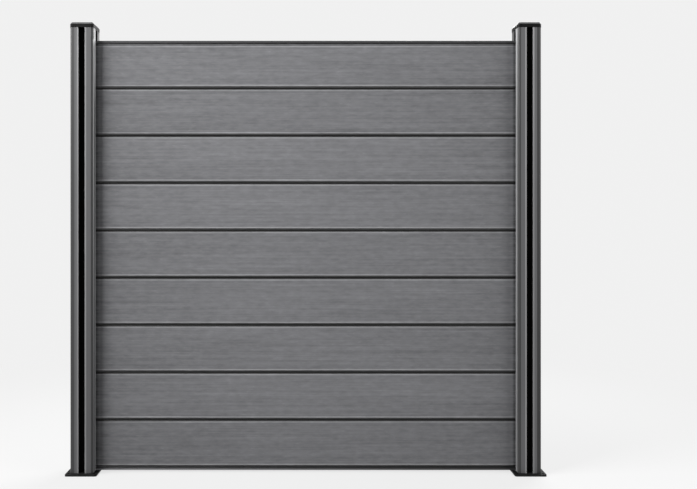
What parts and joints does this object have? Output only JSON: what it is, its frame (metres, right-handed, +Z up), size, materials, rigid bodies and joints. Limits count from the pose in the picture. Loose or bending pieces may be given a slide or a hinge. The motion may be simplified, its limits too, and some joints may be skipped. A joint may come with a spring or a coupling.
{
  "type": "composite fence panel",
  "caption": "Slot-in fence bay: horizontal grey tongue-and-groove composite boards between two slotted metal posts with black caps and bolt-down base plates.",
  "frame": {"origin": "on the ground, midway between the two posts and in the middle of their depth", "axes": "+X along the fence to the right as seen from the front, +Y to the back, +Z up; the front faces -Y"},
  "size_m": [2.001, 0.132, 1.89],
  "materials": {
    "composite_boards": "wood-plastic composite, fine brushed grain along the board, matt",
    "grey_posts": "extruded aluminium, fine textured grey powder coat",
    "dark_channel": "extruded aluminium, satin charcoal powder coat",
    "black_caps": "moulded black plastic, fine grain",
    "black_plates": "steel, black powder coat",
    "slot_rubber": "black rubber, matt",
    "screws": "zinc-plated steel"
  },
  "bodies": {
    "posts": {"left_post": "grey_posts", "left_base_plate": "black_plates", "left_spigot": "black_plates", "left_spigot_screws": "screws", "left_panel_slot_liner": "slot_rubber", "left_back_slot_liner": "slot_rubber", "left_outer_slot_liner": "slot_rubber", "left_front_slot_liner": "slot_rubber", "right_post": "grey_posts", "right_base_plate": "black_plates", "right_spigot": "black_plates", "right_spigot_screws": "screws", "right_panel_slot_liner": "slot_rubber", "right_back_slot_liner": "slot_rubber", "right_outer_slot_liner": "slot_rubber", "right_front_slot_liner": "slot_rubber"},
    "panel": {"board_1": "composite_boards", "board_2": "composite_boards", "board_3": "composite_boards", "board_4": "composite_boards", "board_5": "composite_boards", "board_6": "composite_boards", "board_7": "composite_boards", "board_8": "composite_boards", "board_9": "composite_boards", "bottom_rail": "grey_posts", "top_channel": "dark_channel", "top_channel_screws": "screws"},
    "left_cap": {"left_post_cap": "black_caps"},
    "right_cap": {"right_post_cap": "black_caps"}
  },
  "joints": [
    {"name": "panel_lift", "type": "slide", "parent": "posts", "child": "panel", "axis": [0, 0, 1], "range_m": [0, 0.045]},
    {"name": "left_cap_lift", "type": "slide", "parent": "posts", "child": "left_cap", "axis": [0, 0, 1], "range_m": [0, 0.06]},
    {"name": "right_cap_lift", "type": "slide", "parent": "posts", "child": "right_cap", "axis": [0, 0, 1], "range_m": [0, 0.06]}
  ]
}
